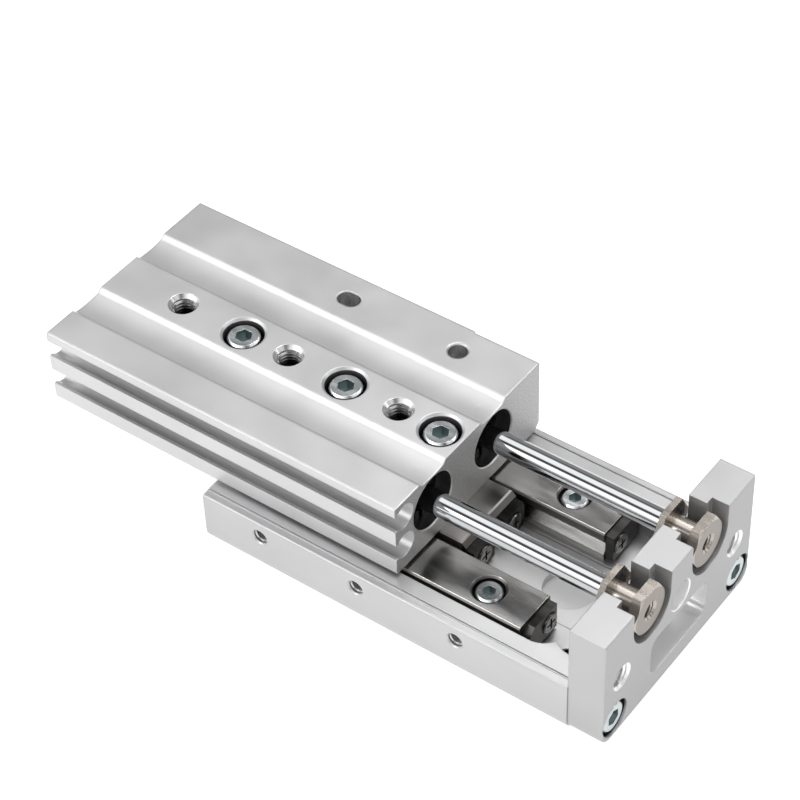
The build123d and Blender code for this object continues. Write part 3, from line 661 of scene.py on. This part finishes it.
def closed_outwards(piece):
    """Turns the faces round where the signed volume of the closed mesh, the sum of
    a . (b x c) over its triangles, is negative."""
    mesh = piece.data
    mesh.calc_loop_triangles()
    v = np.empty(len(mesh.vertices) * 3)
    mesh.vertices.foreach_get("co", v)
    v = v.reshape(-1, 3)
    tri = np.empty(len(mesh.loop_triangles) * 3, dtype=int)
    mesh.loop_triangles.foreach_get("vertices", tri)
    a, b, c = (v[tri.reshape(-1, 3)[:, n]] for n in range(3))
    if np.einsum("ij,ij->i", a, np.cross(b, c)).sum() < 0:
        mesh.flip_normals()


print("steps in a turn of thread:", STEPS_PER_TURN)

# %% [markdown]
# A fresh thread is bright, and it vanishes in the dark a few turns down. The bright
# steel finish does for it, with its colour darkened from the mouth on, as painted shade.
# The end plate's holes are through holes, so light falls in; their threads are painted
# brighter and stay bright longer, as painted light.

# %% Finishes of the threads
MOUTH_BRIGHT = 1.2 * MM
SHADE_STEP = 0.04


def thread_finish(name, axis, mouth, way, bright=0.54, deep=4.5 * MM, dull=(0.16, 0.24)):
    """Bright cut thread, painted dark from deep on as painted shade; way is 1 where the mouth
    faces plus.
    """
    shades = [grey(bright + side * SHADE_STEP) for side in (-1, 1)]
    made = steel(name, *shades, dull, GRAIN, 0.001 * MM)
    tree = made.node_tree
    levels = (mouth - way * MOUTH_BRIGHT, mouth - way * deep, 0.0, 1.0)
    sinking = carried_over(tree, coordinates(tree)[axis], levels)
    colour = tree.nodes["Principled BSDF"].inputs["Base Color"]
    before = colour.links[0].from_socket
    tree.links.new(mixed(tree, "RGBA", before, PAINTED_SHADE, sinking), colour)
    return made


table_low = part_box("table")[0]
top_thread = thread_finish("cut_thread_top", Z, body_top, 1)
# Painted light: the end plate's threads are painted brighter, and stay bright deeper.
front_thread = thread_finish("cut_thread_front", X, plate_front, 1, 0.90, 9.0 * MM, (0.32, 0.42))
under_thread = thread_finish("cut_thread_under", Z, 0.0, -1)
port_thread = thread_finish("cut_thread_port", Y, top_of("cylinder_body", Y), 1)
side_thread = thread_finish("cut_thread_side", Y, float(table_low[Y]), -1)
print("thread finishes made, the longest bright:", front_thread.name)

# %% [markdown]
# The threads stand where the record's mounts state them, so they always meet their
# holes. The bushes' threads have no mount of their own and are placed by the box of
# their node, and the side threads end at the preload screws that sit in them.

# %% Threads in every tapped hole
PITCH = {3.0: 1.0 * MM, 2.5: 0.8 * MM, 2.1: 0.8 * MM, 2.0: 0.7 * MM}
FULL_RIDGE = 0.54
LOW_RIDGE = 0.35
BODY_LENGTH, BODY_START = 10.5 * MM, 1.0 * MM
PLATE_LENGTH, PLATE_START = 9.6 * MM, 0.7 * MM
BUSH_LENGTH, BUSH_START = 6.0 * MM, 0.62 * MM
TABLE_LENGTH = 6.0 * MM
PLAIN_START = 0.1 * MM
PORT_END = 0.2 * MM
SIDE_START = 0.42 * MM
SIDE_SCREWS = 3
made_threads = []


def threaded(name, mouth, way, hole_r_mm, length, start, body, finish, tall=FULL_RIDGE):
    """One ridge, dressed and riding on its body."""
    piece = thread_ridge(name, mouth, way, hole_r_mm * MM, length, PITCH[hole_r_mm], start, tall)
    closed_outwards(piece)
    piece.data.materials.append(finish)
    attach(piece, body)
    made_threads.append(piece)


for number, spot in enumerate(body_spots):
    threaded(f"body_thread_{number}", (spot[X], spot[Y], body_top), (0, 0, 1), 3.0,
             BODY_LENGTH, BODY_START, "cylinder", top_thread)
for number, spot in enumerate(plate_spots):
    threaded(f"plate_thread_{number}", (plate_front, spot[Y], spot[Z]), (1, 0, 0), 3.0,
             PLATE_LENGTH, PLATE_START, "slide", front_thread)
for number, spot in enumerate(hole_row("table_threads") + hole_row("table_middle_threads")):
    threaded(f"table_thread_{number}", (spot[X], spot[Y], 0), (0, 0, -1), 2.5,
             TABLE_LENGTH, PLAIN_START, "slide", under_thread)
for name in ("air_port_rear", "air_port_front"):
    port = mounts[name]["pos_m"]
    deep = mounts[name]["dims"]["length_mm"] * MM
    threaded(f"{name}_thread", (port[X], port[Y] + deep / 2, port[Z]), (0, 1, 0), 2.5,
             deep - PORT_END, PLAIN_START, "cylinder", port_thread)
screws_low, screws_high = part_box("preload_screws")
side_z = (screws_low[Z] + screws_high[Z]) / 2
screw_r = (screws_high[Z] - screws_low[Z]) / 2
screws_x = np.linspace(screws_low[X] + screw_r, screws_high[X] - screw_r, SIDE_SCREWS)
for number, x in enumerate(screws_x):
    threaded(f"side_thread_{number}", (x, table_low[Y], side_z), (0, -1, 0), 2.0,
             screws_low[Y] - table_low[Y], SIDE_START, "slide", side_thread)
for side in SIDES:
    bush = f"floating_bush_{side}"
    threaded(f"bush_thread_{side}", (top_of(bush, X), *middle_of(bush)[Y:]), (1, 0, 0), 2.1,
             BUSH_LENGTH, BUSH_START, "slide", bush_finish, LOW_RIDGE)
print("threads:", len(made_threads))

# %% [markdown]
# The photograph has a white ground with almost no shadow. A plain white floor would
# still go grey away from the lights, so this one also glows a little, and its surface
# has no gloss that could mirror the object.

# %% Floor
FLOOR_REACH = 3.0
FLOOR_DROP = 0.02 * MM
FLOOR_GLOW = 0.8

floor_mesh = bpy.data.meshes.new("floor")
floor_corners = [(x * FLOOR_REACH, y * FLOOR_REACH, -FLOOR_DROP)
                 for x, y in ((-1, -1), (1, -1), (1, 1), (-1, 1))]
floor_mesh.from_pydata(floor_corners, [], [(0, 1, 2, 3)])
floor = bpy.data.objects.new("floor", floor_mesh)
bpy.context.scene.collection.objects.link(floor)
floor_finish, _, floor_shader = new_finish("pale_floor", grey(0.4), 0.0, 0.9)
floor_shader.inputs["Specular IOR Level"].default_value = 0.0
floor_shader.inputs["Emission Color"].default_value = (1, 1, 1, 1)
floor_shader.inputs["Emission Strength"].default_value = FLOOR_GLOW
floor_mesh.materials.append(floor_finish)
print("floor glow:", FLOOR_GLOW)

# %% [markdown]
# Three soft panels light the object. The first stands above and a little behind, for
# the soft light on the matt tops. The other two stand where edges mirror them: one
# lights the shoulders of the top grooves, and one the edges between tops and fronts.

# %% Panels
AIM = Vector((0.0, 0.0, 0.02))
# name, place, width and height in metres, and watts
PANELS = (
    ("top_panel", (0.05, 0.5, 1.05), (0.6, 0.4), 4.5),
    ("edge_panel", (-0.43, -0.69, 0.60), (0.5, 0.2), 1.3),
    ("corner_panel", (0.70, 0.58, 0.45), (0.4, 0.4), 1.0),
)


def panel(name, place, size, power):
    """A rectangular soft light at place, looking at the object."""
    light = bpy.data.lights.new(name, "AREA")
    light.shape = "RECTANGLE"
    light.size, light.size_y = size
    light.energy = power
    lamp = bpy.data.objects.new(name, light)
    bpy.context.scene.collection.objects.link(lamp)
    lamp.location = place
    lamp.rotation_euler = (AIM - Vector(place)).to_track_quat("-Z", "Y").to_euler()


for row in PANELS:
    panel(*row)
print("panels:", [row[0] for row in PANELS])

# %% [markdown]
# Polished metal shows what stands round it. In a studio that is white card with dark
# gaps, which gives the rods their sharp lines. Cards could be modelled one by one, but
# they all run along the object, so the sky alone does it: its brightness follows the
# angle about the X axis in bands, and it is a little dimmer towards the front.

# %% Sky
# degrees from the horizon behind, over the top, to the horizon in front, and how bright
SKY = ((0, 0.40), (40, 0.38), (48, 0.16), (58, 0.16), (66, 1.7), (100, 1.7), (108, 0.1),
       (124, 0.1), (131, 1.8), (162, 1.8), (172, 0.2), (180, 0.2))
DIMMING = (-0.3, 0.7, 1.0, 0.6)

world = bpy.data.worlds.new("studio")
bpy.context.scene.world = world
world.use_nodes = True
sky = world.node_tree
backdrop = sky.nodes["Background"]
direction = sky.nodes.new("ShaderNodeTexCoord")
split = sky.nodes.new("ShaderNodeSeparateXYZ")
link(sky, direction, "Generated", split, "Vector")
rise = arithmetic(sky, "ARCTAN2", split.outputs["Z"], split.outputs["Y"])
bands = sky.nodes.new("ShaderNodeValToRGB")
sky.links.new(arithmetic(sky, "DIVIDE", rise, math.pi), bands.inputs["Fac"])
link(sky, bands, "Color", backdrop, "Color")
sky.links.new(carried_over(sky, split.outputs["X"], DIMMING), backdrop.inputs["Strength"])
stops = bands.color_ramp.elements
stops[0].position, stops[1].position = 0, 1
for degrees, bright in SKY[1:-1]:
    stops.new(degrees / 180)
for stop, (degrees, bright) in zip(stops, SKY):
    stop.color = (*grey(bright), 1)
print("sky bands:", len(stops))

# %% [markdown]
# The camera was found from the photograph's straight edges: they meet far away, so the
# lens is long. Its turn is written as three directions, and the small shift keeps the
# object where it stands in the frame.

# %% Camera
CAMERA_PLACE = (0.28174, -0.35986, 0.48571)
RIGHT = (0.81254, 0.58251, -0.0216)
UP = (-0.393, 0.5748, 0.71775)
BACK = (0.43051, -0.57471, 0.69597)
SENSOR_MM = 36.0
FOCAL_MM = 118.81
SHIFT = (-0.0314, -0.0130)
NEAREST = 0.01

lens = bpy.data.cameras.new("camera")
lens.sensor_width = SENSOR_MM
lens.sensor_fit = "HORIZONTAL"
lens.lens = FOCAL_MM
lens.shift_x, lens.shift_y = SHIFT
lens.clip_start = NEAREST
camera = bpy.data.objects.new("camera", lens)
bpy.context.scene.collection.objects.link(camera)
turn = Matrix((RIGHT, UP, BACK)).transposed().to_4x4()
camera.matrix_world = Matrix.Translation(CAMERA_PLACE) @ turn
bpy.context.scene.camera = camera
bpy.context.scene.view_settings.view_transform = "Standard"
bpy.context.scene.view_settings.look = "None"
print("focal length in mm:", FOCAL_MM)
